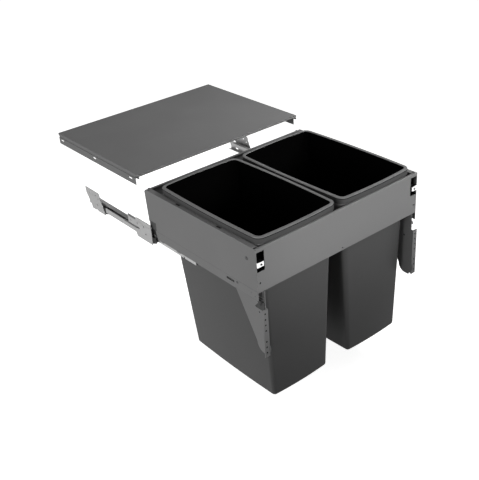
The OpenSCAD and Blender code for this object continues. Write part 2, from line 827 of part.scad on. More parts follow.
// Rivets that hold the brackets to the carriers
module bracket_rivets() {
    head = 6;
    color("silver") for (s = [0, 1]) mirror([s, 0, 0]) for (i = [-1, 0, 1])
        translate([bracket_in, bracket_top / 2 + i * bracket_top * 0.28, panel_bottom - 12])
            rotate([0, -90, 0]) cylinder(h = head / 5, d = head);
}

// Screws at the side strips
module strip_screws() {
    color(black) for (s = [0, 1]) mirror([s, 0, 0])
        translate([side_x, 76, panel_bottom - 6]) rotate([0, 90, 0]) cylinder(h = 1, d = 6.5);
}

// Thin slice of a bin's body at depth d below its rim, inset by a wall
module bin_slice(d, inset) {
    k = d / bin_h;
    r = (1 - k) * (rim_r - rim_w / 2) + k * foot_r - inset;
    a = rim_w - bin_wall + inset;
    translate([0, 0, rim_z - d]) linear_extrude(0.1)
        bowed_rect([rim_in + a + k * taper_mid, rim_y + a + k * taper_front],
            [rim_out - a - k * taper_side, rim_end - a - k * taper_rear], max(r, 2),
            bin_bow * (1 - k / 4));
}
// Outline of the rim, inset from its outer edge
module rim_outline(inset) {
    bowed_rect([rim_in + inset, rim_y + inset], [rim_out - inset, rim_end - inset], rim_r - inset,
        bin_bow);
}

// Tapered bin that hangs in its collar by its rim
module bin() {
    floor_d = bin_h - bin_wall - 0.8;
    edge = 7;
    groove = 1.2;
    color(bin_grey) difference() {
        union() {
            hull() {
                bin_slice(bin_wall, 0);
                bin_slice(bin_h - edge, 0);
                bin_slice(bin_h, edge - 1);
            }
            translate([0, 0, rim_z - bin_wall]) linear_extrude(bin_wall) rim_outline(0);
            translate([0, 0, rim_z - skirt_h]) linear_extrude(skirt_h) difference() {
                rim_outline(0);
                rim_outline(bin_wall);
            }
        }
        hull() {
            bin_slice(-1, bin_wall);
            bin_slice(floor_d - edge - 1, bin_wall);
            bin_slice(floor_d, bin_wall + edge - 2);
        }
        translate([0, 0, rim_z - rim_groove_drop - groove]) linear_extrude(groove) difference() {
            rim_outline(-1);
            rim_outline(0.8);
        }
    }
}

lid_panel();
on_left() lid_rail();  // left_lid_rail
lid_rail();  // right_lid_rail
lid_bumpers();
on_left() rear_wall_plate();  // left_rear_wall_plate
rear_wall_plate();  // right_rear_wall_plate
on_left() front_wall_plate();  // left_front_wall_plate
front_wall_plate();  // right_front_wall_plate
on_left() cabinet_rail();  // left_cabinet_rail
cabinet_rail();  // right_cabinet_rail
on_left() rail_holders();  // left_rail_holders
rail_holders();  // right_rail_holders
on_left() damper();  // left_damper
damper();  // right_damper
on_left() middle_rail();  // left_middle_rail
middle_rail();  // right_middle_rail
on_left() outer_cage();  // left_outer_cage
outer_cage();  // right_outer_cage
on_left() outer_balls();  // left_outer_balls
outer_balls();  // right_outer_balls
on_left() inner_cage();  // left_inner_cage
inner_cage();  // right_inner_cage
on_left() inner_balls();  // left_inner_balls
inner_balls();  // right_inner_balls
front_panel();
on_left() side_panel();  // left_side_panel
side_panel();  // right_side_panel
rear_panel();
bin_shelf();
on_left() bin_collar();  // left_bin_collar
bin_collar();  // right_bin_collar
on_left() side_strip();  // left_side_strip
side_strip();  // right_side_strip
on_left() runner_carrier();  // left_runner_carrier
runner_carrier();  // right_runner_carrier
on_left() drawer_rail();  // left_drawer_rail
drawer_rail();  // right_drawer_rail
on_left() door_bracket();  // left_door_bracket
door_bracket();  // right_door_bracket
on_left() adjuster();  // left_adjuster
adjuster();  // right_adjuster
on_left() rail_catch();  // left_rail_catch
rail_catch();  // right_rail_catch
on_left() window_insert();  // left_window_insert
window_insert();  // right_window_insert
on_left() clip();  // left_clip
clip();  // right_clip
clip_screws();
on_left() end_cap();  // left_end_cap
end_cap();  // right_end_cap
bracket_rivets();
strip_screws();
on_left() bin();  // left_bin
bin();  // right_bin
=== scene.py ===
"""Looks of a pull-out frame with two lift-out bins, built round its packed construction.

Every finish and every visible form is made here with node materials and bmesh operators.
Sizes are in metres, in the same frame as the construction.
"""
import json
import math

import bmesh
import bpy
from bpy.props import FloatProperty, FloatVectorProperty, PointerProperty
from mathutils import Matrix, Vector


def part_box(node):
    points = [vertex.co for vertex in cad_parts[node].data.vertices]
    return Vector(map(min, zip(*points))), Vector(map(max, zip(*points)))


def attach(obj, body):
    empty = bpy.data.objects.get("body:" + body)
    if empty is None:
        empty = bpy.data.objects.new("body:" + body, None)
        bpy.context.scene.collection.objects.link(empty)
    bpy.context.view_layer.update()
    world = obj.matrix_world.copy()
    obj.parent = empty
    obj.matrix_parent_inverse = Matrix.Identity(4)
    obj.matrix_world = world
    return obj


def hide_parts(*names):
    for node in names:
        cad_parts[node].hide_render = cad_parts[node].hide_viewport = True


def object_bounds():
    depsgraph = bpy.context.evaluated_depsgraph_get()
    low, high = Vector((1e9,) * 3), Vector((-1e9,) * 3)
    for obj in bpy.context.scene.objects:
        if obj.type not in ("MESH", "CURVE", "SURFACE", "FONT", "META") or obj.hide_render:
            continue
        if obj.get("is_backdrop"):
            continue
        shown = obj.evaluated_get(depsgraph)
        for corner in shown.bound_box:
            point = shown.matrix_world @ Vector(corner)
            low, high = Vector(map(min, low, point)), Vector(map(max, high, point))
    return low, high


bl_info = {
    "name": "Pull-out bin frame",
    "version": (1, 0, 0),
    "blender": (4, 5, 0),
    "location": "View3D > Sidebar > Bin frame",
    "description": "Finishes, bins and stage of a pull-out bin frame",
    "category": "Object",
}

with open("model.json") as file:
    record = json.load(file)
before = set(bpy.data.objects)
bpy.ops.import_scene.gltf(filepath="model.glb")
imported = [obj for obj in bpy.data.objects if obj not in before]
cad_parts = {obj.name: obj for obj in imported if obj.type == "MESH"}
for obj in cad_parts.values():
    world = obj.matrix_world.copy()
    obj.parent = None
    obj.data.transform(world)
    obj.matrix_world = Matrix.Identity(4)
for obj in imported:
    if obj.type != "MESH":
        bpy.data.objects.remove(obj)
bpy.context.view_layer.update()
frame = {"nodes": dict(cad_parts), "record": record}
MM = 0.001
SIDES = ("left", "right")
TOLERANCE = 0.01 * MM
QUARTER_TURN = math.pi / 2


def node_box(node):
    """Lowest and highest corner of a construction node."""
    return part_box(node)


class BinFrameFinish(bpy.types.PropertyGroup):
    """Colours and surface textures."""

    frame_colour: FloatVectorProperty(
        name="Frame paint", description="Powder coat of the frame",
        subtype="COLOR", size=3, min=0, max=1, default=(0.141, 0.141, 0.141))
    lid_colour: FloatVectorProperty(
        name="Lid paint", description="Powder coat of the lid",
        subtype="COLOR", size=3, min=0, max=1, default=(0.131, 0.131, 0.131))
    bin_colour: FloatVectorProperty(
        name="Bin plastic", description="Outside of the bins",
        subtype="COLOR", size=3, min=0, max=1, default=(0.0435, 0.0435, 0.0435))
    # The rim is the bins' own plastic, its colour made lighter as a painted sheen.
    rim_sheen_colour: FloatVectorProperty(
        name="Bin rim", description="Rim of the bins, lighter as a painted sheen",
        subtype="COLOR", size=3, min=0, max=1, default=(0.115, 0.115, 0.115))
    # The inside is the bins' own plastic, painted near black as the shade deep in a bin.
    bin_inside: FloatVectorProperty(
        name="Bin inside", description="Inside of the bins",
        subtype="COLOR", size=3, min=0, max=1, default=(0.0012, 0.0012, 0.0012))
    zinc_colour: FloatVectorProperty(
        name="Zinc plate", description="Zinc of the wall plates",
        subtype="COLOR", size=3, min=0, max=1, default=(0.28, 0.28, 0.28))
    rail_colour: FloatVectorProperty(
        name="Rail steel", description="Rolled steel of the rails",
        subtype="COLOR", size=3, min=0, max=1, default=(0.33, 0.33, 0.33))
    moulding_colour: FloatVectorProperty(
        name="Black mouldings", description="Holders, caps, catches and inserts",
        subtype="COLOR", size=3, min=0, max=1, default=(0.004, 0.004, 0.004))
    clip_colour: FloatVectorProperty(
        name="Clip enamel", description="Enamel of the window clips",
        subtype="COLOR", size=3, min=0, max=1, default=(0.86, 0.86, 0.855))
    paint_roughness: FloatProperty(
        name="Paint roughness", description="Roughness of the powder coat",
        subtype="FACTOR", min=0, max=1, default=0.6)
    grain: FloatProperty(
        name="Powder grain", description="Grains of the powder coat in a metre",
        min=100, max=4000, default=1600)


class BinFrameBins(bpy.types.PropertyGroup):
    """Sizes of the bins that the construction's box doesn't give."""

    wall: FloatProperty(
        name="Wall", description="Wall thickness",
        unit="LENGTH", min=0.001, max=0.004, default=0.0022)
    rim_width: FloatProperty(
        name="Rim width", description="Width of the rim from its outer edge to the opening",
        unit="LENGTH", min=0.006, max=0.014, default=0.0092)
    skirt: FloatProperty(
        name="Skirt", description="Height of the skirt that hangs from the rim",
        unit="LENGTH", min=0.01, max=0.04, default=0.0172)
    bow: FloatProperty(
        name="Bow", description="How far the middle of a rim's side bows out",
        unit="LENGTH", min=0, max=0.006, default=0.004)
    rim_radius: FloatProperty(
        name="Rim corner", description="Corner radius of the rim",
        unit="LENGTH", min=0.01, max=0.04, default=0.022)
    foot_radius: FloatProperty(
        name="Foot corner", description="Corner radius at the foot",
        unit="LENGTH", min=0.004, max=0.02, default=0.01)
    taper_side: FloatProperty(
        name="Outer taper", description="How far the outer wall leans in",
        unit="LENGTH", min=0, max=0.04, default=0.0251)
    taper_middle: FloatProperty(
        name="Middle taper", description="How far the wall towards the other bin leans in",
        unit="LENGTH", min=0, max=0.04, default=0.0248)
    taper_front: FloatProperty(
        name="Front taper", description="How far the front wall leans in",
        unit="LENGTH", min=0, max=0.03, default=0.0045)
    taper_rear: FloatProperty(
        name="Rear taper", description="How far the rear wall leans in",
        unit="LENGTH", min=0, max=0.05, default=0.0448)
    groove_drop: FloatProperty(
        name="Groove", description="Depth of the rim's fine groove below its top",
        unit="LENGTH", min=0.002, max=0.012, default=0.0024)


class BinFrameSheets(bpy.types.PropertyGroup):
    """Edges of the sheet metal."""

    edge: FloatProperty(
        name="Edge", description="Radius of the painted sheets' edges",
        unit="LENGTH", min=0, max=0.001, default=0.0004)
    plate_edge: FloatProperty(
        name="Plate edge", description="Radius of the stamped plates' edges",
        unit="LENGTH", min=0, max=0.0006, default=0.0002)
    lid_flange: FloatProperty(
        name="Lid flange", description="Height of the lid rails' screw flange",
        unit="LENGTH", min=0.01, max=0.03, default=0.0198)
    liner_depth: FloatProperty(
        name="Liner", description="Depth of the liner in the recess under the lid's folded edge",
        unit="LENGTH", min=0.0002, max=0.004, default=0.0015)
    liner_thickness: FloatProperty(
        name="Liner thickness", description="Thickness of that liner",
        unit="LENGTH", min=0.001, max=0.004, default=0.003)


class BinFrameFittings(bpy.types.PropertyGroup):
    """Small fittings on the side panels, the door brackets and the front wall plates."""

    screw_place: FloatVectorProperty(
        name="Side screw",
        description="Distance behind the front and height of a side panel's screw",
        subtype="XYZ", size=2, default=(0.034, 0.056))
    screw_head: FloatProperty(
        name="Screw head", description="Diameter of a side panel's screw head",
        unit="LENGTH", min=0.004, max=0.012, default=0.0098)
    pad_first: FloatProperty(
        name="First pad", description="Distance of the first pad behind the front",
        unit="LENGTH", min=0.05, max=0.3, default=0.143)
    pad_pitch: FloatProperty(
        name="Pad pitch", description="Distance between the two pads of a side",
        unit="LENGTH", min=0.05, max=0.2, default=0.166)
    pad_size: FloatVectorProperty(
        name="Pad", description="Width, length and height of a pad",
        subtype="XYZ", size=3, default=(0.0045, 0.015, 0.0006))
    sheet: FloatProperty(
        name="Sheet", description="Thickness of the side panels' sheet",
        unit="LENGTH", min=0.001, max=0.002, default=0.0015)
    fold: FloatProperty(
        name="Fold", description="Width of the side panels' folded top",
        unit="LENGTH", min=0.006, max=0.012, default=0.009)
    underlay: FloatProperty(
        name="Underlay", description="How far the folded top's underlay reaches under the rims",
        unit="LENGTH", min=0.001, max=0.006, default=0.0036)
    # The dark mark in a front wall plate is painted shade where the plate has a slot.
    slot_shade_ends: FloatVectorProperty(
        name="Plate slot shade",
        description="Front and rear end of the dark mark painted as a slot's shade in a front wall plate",
        subtype="XYZ", size=2, default=(0.5055, 0.568))
    slot_shade_height: FloatVectorProperty(
        name="Slot shade height",
        description="Lower and upper edge of that dark mark, below the construction's zero",
        subtype="XYZ", size=2, default=(-0.0455, -0.0395))
    tab_ends: FloatVectorProperty(
        name="Plate tab",
        description="Front and rear end of the dark tab at a front wall plate's top",
        subtype="XYZ", size=2, default=(0.507, 0.542))
    tab_height: FloatVectorProperty(
        name="Tab height", description="Lower and upper edge of that tab",
        subtype="XYZ", size=2, default=(-0.0195, -0.0145))
    # The dark patch by an end cap is painted shade of a recess in the side panel; the ledge above
    # it is frame paint.
    shade_patch_ends: FloatVectorProperty(
        name="Cap cover", description="Front and rear end of the cover over a frame's end cap",
        subtype="XYZ", size=2, default=(0.4125, 0.438))
    shade_patch_height: FloatVectorProperty(
        name="Shade patch height", description="Lower edge, step and upper edge of that cover",
        subtype="XYZ", size=3, default=(-0.021, 0.002, 0.009))
    plug_place: FloatVectorProperty(
        name="Bracket plug",
        description="Distance behind the front and height of the plug in a door bracket",
        subtype="XYZ", size=2, default=(0.02, -0.094))
    plug: FloatProperty(
        name="Plug", description="Diameter of that plug",
        unit="LENGTH", min=0.003, max=0.008, default=0.0052)
    flange_hole: FloatVectorProperty(
        name="Flange holes",
        description="Distance from the bracket's inner face, depth and height of the first hole",
        subtype="XYZ", size=3, default=(0.0088, -0.0087, -0.082))
    hole_pitch: FloatProperty(
        name="Hole pitch", description="Distance between two holes of a door bracket's flange",
        unit="LENGTH", min=0.015, max=0.0165, default=0.016)
    # Dark discs in the flange's holes are painted shade of the holes' depth.
    hole_shade: FloatProperty(
        name="Hole shade", description="Diameter of the dark discs painted as shade in those holes",
        unit="LENGTH", min=0.004, max=0.006, default=0.0052)
    seam: FloatProperty(
        name="Seam", description="Height of the joint line above a side strip",
        unit="LENGTH", min=0.0002, max=0.002, default=0.0006)
    dark_mark_rise: FloatProperty(
        name="Dark mark rise", description="How far the dark mark and tab stand out of the plate",
        unit="LENGTH", min=0.00005, max=0.0005, default=0.0001)


class BinFrameStage(bpy.types.PropertyGroup):
    """Floor, light and camera."""

    camera_place: FloatVectorProperty(
        name="Camera place", description="Where the camera stands",
        subtype="TRANSLATION", size=3, default=(-1.233, -1.204, 0.999))
    azimuth: FloatProperty(
        name="Azimuth", description="Camera's turn about the upright",
        subtype="ANGLE", default=math.radians(-37.27))
    elevation: FloatProperty(
        name="Elevation", description="Camera's height angle",
        subtype="ANGLE", default=math.radians(29.73))
    roll: FloatProperty(
        name="Roll", description="Camera's roll about its own axis",
        subtype="ANGLE", default=math.radians(-4.30))
    lens: FloatProperty(
        name="Lens", description="Focal length in millimetres on a 36 mm wide sensor",
        min=20, max=200, default=60.41)
    ambient: FloatProperty(
        name="Ambient", description="Strength of the light from all round",
        min=0, max=2, default=0.26)
    key: FloatProperty(
        name="Key", description="Power of the softbox at the front right, in watts",
        min=0, max=200, default=2.25)
    fill: FloatProperty(
        name="Fill", description="Power of the softbox at the left, in watts",
        min=0, max=200, default=48)
    side: FloatProperty(
        name="Side", description="Power of the softbox above the lid's right, in watts",
        min=0, max=200, default=3.8)
    bounce: FloatProperty(
        name="Bounce", description="Part of the light that the floor throws back",
        subtype="FACTOR", min=0, max=1, default=0.03)
    floor_drop: FloatProperty(
        name="Floor", description="Distance of the floor below the bins",
        unit="LENGTH", min=0, max=1, default=0.09)


def link(tree, source, target):
    """Joins two sockets of a material."""
    tree.links.new(source, target)


def new_material(name):
    """A node material with its tree, its shader and its object coordinates."""
    material = bpy.data.materials.new(name)
    material.use_nodes = True
    tree = material.node_tree
    place = tree.nodes.new("ShaderNodeTexCoord").outputs["Object"]
    return material, tree, tree.nodes["Principled BSDF"], place


# Stretches of a noise: none, and streaks that run from front to rear.
EVEN = (1, 1, 1)
ALONG = (1, 0.04, 1)
NOISE_ROUGHNESS = 0.55
NOISE_LOW, NOISE_HIGH = 0.3, 0.7


def noise(tree, place, scale, detail=3, stretch=EVEN):
    """Grey noise at a number of grains in a metre, stretched along an axis if asked."""
    texture = tree.nodes.new("ShaderNodeTexNoise")
    texture.inputs["Scale"].default_value = scale
    texture.inputs["Detail"].default_value = detail
    texture.inputs["Roughness"].default_value = NOISE_ROUGHNESS
    mapping = tree.nodes.new("ShaderNodeMapping")
    mapping.inputs["Scale"].default_value = stretch
    link(tree, place, mapping.inputs["Vector"])
    link(tree, mapping.outputs["Vector"], texture.inputs["Vector"])
    return texture.outputs["Fac"]


def varied(tree, factor, middle, reach):
    """A number that runs with the factor from a reach below its middle to a reach above it."""
    span = tree.nodes.new("ShaderNodeMapRange")
    span.inputs["From Min"].default_value = NOISE_LOW
    span.inputs["From Max"].default_value = NOISE_HIGH
    span.inputs["To Min"].default_value = middle - reach
    span.inputs["To Max"].default_value = middle + reach
    link(tree, factor, span.inputs["Value"])
    return span.outputs["Result"]


def tinted(tree, factor, colour, low, high):
    """The colour, darkened and lightened by the factor."""
    mix = tree.nodes.new("ShaderNodeMix")
    mix.data_type = "RGBA"
    mix.inputs["A"].default_value = (*[c * low for c in colour], 1)
    mix.inputs["B"].default_value = (*[min(1, c * high) for c in colour], 1)
    link(tree, factor, mix.inputs["Factor"])
    return mix.outputs["Result"]


def bumped(tree, shader, height, distance, strength):
    """Raises the surface by the height."""
    bump = tree.nodes.new("ShaderNodeBump")
    bump.inputs["Distance"].default_value = distance
    bump.inputs["Strength"].default_value = strength
    link(tree, height, bump.inputs["Height"])
    link(tree, bump.outputs["Normal"], shader.inputs["Normal"])


def powder_coat(name, colour, roughness, grain, specular=0.12):
    """Fine-grained powder coat with a slight unevenness."""
    material, tree, shader, place = new_material(name)
    cloud = noise(tree, place, scale=9, detail=4)
    speck = noise(tree, place, scale=grain * 0.6, detail=2)
    skin = noise(tree, place, scale=grain, detail=2)
    shader.inputs["Specular IOR Level"].default_value = specular
    link(tree, tinted(tree, speck, colour, low=0.93, high=1.07), shader.inputs["Base Color"])
    link(tree, varied(tree, cloud, roughness, reach=0.04), shader.inputs["Roughness"])
    bumped(tree, shader, skin, distance=0.04 * MM, strength=0.5)
    return material


def zinc_plate(name, colour, roughness, stretch):
    """Zinc-plated steel with the faint streaks of rolling."""
    material, tree, shader, place = new_material(name)
    streak = noise(tree, place, scale=220, detail=4, stretch=stretch)
    cloud = noise(tree, place, scale=30)
    shader.inputs["Metallic"].default_value = 0.75
    link(tree, tinted(tree, streak, colour, low=0.88, high=1.1), shader.inputs["Base Color"])
    link(tree, varied(tree, cloud, roughness, reach=0.06), shader.inputs["Roughness"])
    bumped(tree, shader, streak, distance=0.03 * MM, strength=0.4)
    return material


def moulding(name, colour, roughness, grain, specular=0.5):
    """Moulded plastic with an eroded, slightly uneven skin."""
    material, tree, shader, place = new_material(name)
    skin = noise(tree, place, scale=grain)
    cloud = noise(tree, place, scale=6)
    shader.inputs["Specular IOR Level"].default_value = specular
    link(tree, tinted(tree, cloud, colour, low=0.94, high=1.06), shader.inputs["Base Color"])
    link(tree, varied(tree, skin, roughness, reach=0.05), shader.inputs["Roughness"])
    bumped(tree, shader, skin, distance=0.05 * MM, strength=0.35)
    return material


def polished_steel(name, colour, roughness):
    """Ground and polished steel."""
    material, tree, shader, place = new_material(name)
    cloud = noise(tree, place, scale=300, detail=2)
    shader.inputs["Metallic"].default_value = 1.0
    link(tree, tinted(tree, cloud, colour, low=0.95, high=1.05), shader.inputs["Base Color"])
    link(tree, varied(tree, cloud, roughness, reach=0.03), shader.inputs["Roughness"])
    return material


# The drawer rail runs deep in the channel between strip and bracket; its steel is darkened there
# as painted shade.
PAINTED_SHADE_FACTOR = 0.3


def painted_shade_of(colour):
    """A steel's colour darkened as painted shade."""
    return [channel * PAINTED_SHADE_FACTOR for channel in colour]


BALL_COLOUR = (0.62, 0.62, 0.63)
RIVET_COLOUR = (0.03, 0.03, 0.03)
OXIDE_COLOUR = (0.012, 0.012, 0.012)
FINISHES = {
    "frame_paint": lambda s: powder_coat(
        "Frame powder coat", s.frame_colour, s.paint_roughness, s.grain),
    "lid_paint": lambda s: powder_coat(
        "Lid powder coat", s.lid_colour, s.paint_roughness, s.grain),
    "zinc_plate": lambda s: zinc_plate(
        "Zinc plate", s.zinc_colour, roughness=0.42, stretch=EVEN),
    "rail_steel": lambda s: zinc_plate(
        "Rolled rail steel", s.rail_colour, roughness=0.36, stretch=ALONG),
    "drawer_steel": lambda s: zinc_plate(
        "Oiled drawer rail", painted_shade_of(s.rail_colour), roughness=0.5, stretch=ALONG),
    "cage_steel": lambda s: zinc_plate(
        "Stamped cage steel", s.zinc_colour, roughness=0.4, stretch=EVEN),
    "ball_steel": lambda s: polished_steel(
        "Polished balls", BALL_COLOUR, roughness=0.12),
    "rivet_steel": lambda s: moulding(
        "Blackened rivet", RIVET_COLOUR, roughness=0.5, grain=1500),
    "black_plastic": lambda s: moulding(
        "Black moulding", s.moulding_colour, roughness=0.48, grain=900, specular=0.25),
    "black_rubber": lambda s: moulding(
        "Black rubber", s.moulding_colour, roughness=0.7, grain=1200, specular=0.3),
    "clip_metal": lambda s: powder_coat(
        "White enamel", s.clip_colour, roughness=0.35, grain=2500),
    "dark_screws": lambda s: moulding(
        "Black oxide", OXIDE_COLOUR, roughness=0.4, grain=1500),
    "bin_plastic": lambda s: moulding(
        "Bin plastic", s.bin_colour, roughness=0.45, grain=700, specular=0.12),
    # Bin plastic made lighter on the rim: painted sheen.
    "bin_rim": lambda s: moulding(
        "Bin rim", s.rim_sheen_colour, roughness=0.45, grain=700, specular=0.14),
    # Near-black painted shade without reflection: bins' inside and groove, window inserts, flange
    # holes.
    "bin_inside": lambda s: moulding(
        "Bin inside", s.bin_inside, roughness=0.9, grain=700, specular=0.0),
}


def finish(name):
    """The material of a finish, made when it is first asked for."""
    title = f"Visual {name}"
    if title not in bpy.data.materials:
        FINISHES[name](bpy.context.scene.binframe_finish).name = title
    return bpy.data.materials[title]


def slot_of(node):
    """The material slot that the record gives a node."""
    return next(p["material_slot"] for p in frame["record"]["subparts"] if p["node"] == node)


def body_of(node):
    """The body on which a node rides."""
    return next(b for b, nodes in frame["record"]["behaviour"]["bodies"].items() if node in nodes)


def dress(*nodes, name=None):
    """Gives construction nodes the finish of their slot, or a named one."""
    for node in nodes:
        materials = frame["nodes"][node].data.materials
        materials.clear()
        materials.append(finish(name or slot_of(node)))


def block(bm, low, high):
    """Adds a plain block between two corners."""
    verts = bmesh.ops.create_cube(bm, size=1)["verts"]
    bmesh.ops.scale(bm, verts=verts, vec=[b - a for a, b in zip(low, high)])
    bmesh.ops.translate(bm, verts=verts, vec=[(a + b) / 2 for a, b in zip(low, high)])


def mesh_object(name, bm, materials, smooth):
    """Turns a bmesh into an object, smooth across edges up to an angle in degrees."""
    mesh = bpy.data.meshes.new(name)
    bm.to_mesh(mesh)
    bm.free()
    for material in materials:
        mesh.materials.append(finish(material))
    mesh.shade_smooth()
    mesh.set_sharp_from_angle(angle=math.radians(smooth))
    made = bpy.data.objects.new(name, mesh)
    bpy.context.scene.collection.objects.link(made)
    return made


def fitting(name, bm, node, slot, material=None):
    """Makes a bmesh a small fitting that rides on a node's body, in the finish of its slot.

    A material is named only where it isn't the slot's own.
    """
    made = mesh_object(name, bm, [material or slot], smooth=40)
    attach(made, body_of(node))


def piece(name, bm, node, materials, smooth=35):
    """Makes a bmesh a piece that stands for a node and rides on its body."""
    made = mesh_object(name, bm, materials, smooth)
    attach(made, body_of(node))
    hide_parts(node)
    return made


def weighted(made):
    """Keeps large flat faces flat between smooth edges."""
    normals = made.modifiers.new("Flat faces", "WEIGHTED_NORMAL")
    normals.keep_sharp = True


# Faces closer to level than this are merged, and edges are rounded where they turn by more
# than the corner angle and are longer than the shortest length, in radii.
FLAT = math.radians(0.5)
CORNER = math.radians(50)
SHORTEST = 8


def soften(node, radius, name):
    """A copy of a node's mesh whose long outer edges are slightly rounded."""
    bm = bmesh.new()
    bm.from_mesh(frame["nodes"][node].data)
    bmesh.ops.remove_doubles(bm, verts=bm.verts, dist=TOLERANCE)
    bmesh.ops.dissolve_limit(bm, angle_limit=FLAT, verts=bm.verts, edges=bm.edges)
    sharp = [e for e in bm.edges if len(e.link_faces) == 2
             and e.calc_face_angle() > CORNER and e.calc_length() > SHORTEST * radius]
    bmesh.ops.bevel(bm, geom=sharp, offset=radius, affect="EDGES", segments=2,
                    profile=0.5, material=-1, clamp_overlap=True)
    weighted(piece(name, bm, node, [slot_of(node)]))


class BinFramePanels(bpy.types.Operator):
    """Painted sheets of the pull-out frame"""

    bl_idname = "binframe.panels"
    bl_label = "Frame panels"

    def execute(self, context):
        """Rounds the edges of the panels that show and paints the rest."""
        edge = context.scene.binframe_sheets.edge
        soften("front_panel", edge, "front_sheet")
        soften("rear_panel", edge, "rear_sheet")
        dress("bin_shelf")
        for side in SIDES:
            soften(f"{side}_side_panel", edge, f"{side}_side_sheet")
            soften(f"{side}_side_strip", edge, f"{side}_cover_strip")
            dress(f"{side}_bin_collar", f"{side}_runner_carrier")
        return {"FINISHED"}


class BinFrameLid(bpy.types.Operator):
    """Fixed lid with its rails and bumpers"""

    bl_idname = "binframe.lid"
    bl_label = "Lid"

    def execute(self, context):
        """Rounds the lid's folded edges and lines its rails' recesses."""
        sizes = context.scene.binframe_sheets
        soften("lid_panel", sizes.edge, "lid_sheet")
        hem = node_box("lid_panel")[0][2]
        for side in SIDES:
            node = f"{side}_lid_rail"
            low, high = [Vector(corner) for corner in node_box(node)]
            sign = 1 if side == "right" else -1
            face = sign * (max(abs(low.x), abs(high.x)) - sizes.liner_depth)
            back = face - sign * sizes.liner_thickness
            bm = bmesh.new()
            bm.from_mesh(frame["nodes"][node].data)
            block(bm, (min(face, back), low.y, low.z + sizes.lid_flange),
                  (max(face, back), high.y, hem))
            piece(f"{side}_lined_lid_rail", bm, node, [slot_of(node)])
        dress("lid_bumpers")
        return {"FINISHED"}


class BinFramePlates(bpy.types.Operator):
    """Zinc plates on the cabinet's walls and the holders on them"""

    bl_idname = "binframe.plates"
    bl_label = "Wall plates"

    def execute(self, context):
        """Rounds the stamped plates' edges and finishes the holders."""
        edge = context.scene.binframe_sheets.plate_edge
        for side in SIDES:
            for place in ("front", "rear"):
                soften(f"{side}_{place}_wall_plate", edge, f"{side}_{place}_stamped_plate")
            # The holders are black where the plates' pockets hold only shade: painted shade.
            dress(f"{side}_rail_holders")
        return {"FINISHED"}


class BinFrameRails(bpy.types.Operator):
    """Telescopic rails with their cages, balls, dampers and catches"""

    bl_idname = "binframe.rails"
    bl_label = "Rails"

    def execute(self, context):
        """Finishes the rails and what runs in them."""
        parts = ("cabinet_rail", "middle_rail", "outer_cage", "inner_cage",
                 "outer_balls", "inner_balls", "damper", "rail_catch")
        for side in SIDES:
            dress(*[f"{side}_{part}" for part in parts])
            # The drawer rail takes the darkened steel: painted shade of the channel.
            dress(f"{side}_drawer_rail", name="drawer_steel")
        return {"FINISHED"}


class BinFrameBrackets(bpy.types.Operator):
    """Door brackets with their height adjusters and rivets"""

    bl_idname = "binframe.brackets"
    bl_label = "Door brackets"

    def execute(self, context):
        """Rounds the brackets' edges and finishes what is on them."""
        edge = context.scene.binframe_sheets.edge
        for side in SIDES:
            soften(f"{side}_door_bracket", edge, f"{side}_bracket_sheet")
            dress(f"{side}_adjuster")
        dress("bracket_rivets")
        return {"FINISHED"}


# Thickness of a clip's enamelled front plate; what is behind it is black.
CLIP_PLATE = 1.5 * MM


class BinFrameWindows(bpy.types.Operator):
    """Inserts, clips and screws of the corner windows"""

    bl_idname = "binframe.windows"
    bl_label = "Corner windows"

    def execute(self, context):
        """Finishes the inserts, caps and screws, and enamels the clips' plates."""
        for side in SIDES:
            dress(f"{side}_end_cap")
            # The window inserts take the near-black painted shade.
            dress(f"{side}_window_insert", name="bin_inside")
            node = f"{side}_clip"
            bm = bmesh.new()
            bm.from_mesh(frame["nodes"][node].data)
            front = node_box(node)[0][1]
            for face in bm.faces:
                face.material_index = int(face.calc_center_median().y > front + CLIP_PLATE)
            piece(f"{side}_enamel_clip", bm, node, [slot_of(node), "black_plastic"])
        dress("clip_screws", "strip_screws")
        return {"FINISHED"}


def bow_out(verts, corner, middle, half, bow):
    """Moves the vertices of a ring outwards, most in the middle of each side."""
    for axis in (0, 1):
        straight = half[axis] - corner
        for vert in verts:
            along = (vert.co[axis] - middle[axis]) / straight
            across = vert.co[1 - axis] - middle[1 - axis]
            if abs(along) < 1 and abs(across) > half[1 - axis] - TOLERANCE:
                vert.co[1 - axis] += math.copysign(bow * (1 - along * along), across)


CORNER_STEPS = 7
SIDE_STEPS = 10


def rounded_ring(bm, low, high, radius, z, bow):
    """A closed level ring of edges with round corners and slightly bowed sides."""
    known = set(bm.edges)
    grid = bmesh.ops.create_grid(bm, x_segments=1, y_segments=1, size=0.5)["verts"]
    bmesh.ops.scale(bm, verts=grid, vec=(high.x - low.x, high.y - low.y, 1))
    middle = (low + high) / 2
    bmesh.ops.translate(bm, verts=grid, vec=(*middle, z))
    bmesh.ops.bevel(bm, geom=grid, offset=radius, affect="VERTICES", segments=CORNER_STEPS,
                    profile=0.5, material=-1, clamp_overlap=True)
    ring = [e for e in bm.edges if e not in known]
    bmesh.ops.delete(bm, geom=list(ring[0].link_faces), context="FACES_ONLY")
    sides = sorted(ring, key=lambda e: e.calc_length())[-4:]
    bmesh.ops.subdivide_edges(bm, edges=sides, cuts=SIDE_STEPS - 1)
    ring = [e for e in bm.edges if e not in known]
    bow_out({v for e in ring for v in e.verts}, radius, middle, (high - low) / 2, bow)
    return ring


# A bin's corners get no sharper than this, and its bow loses this part down to the foot.
SMALLEST_RADIUS = 2 * MM
BOW_LOST = 1 / 4


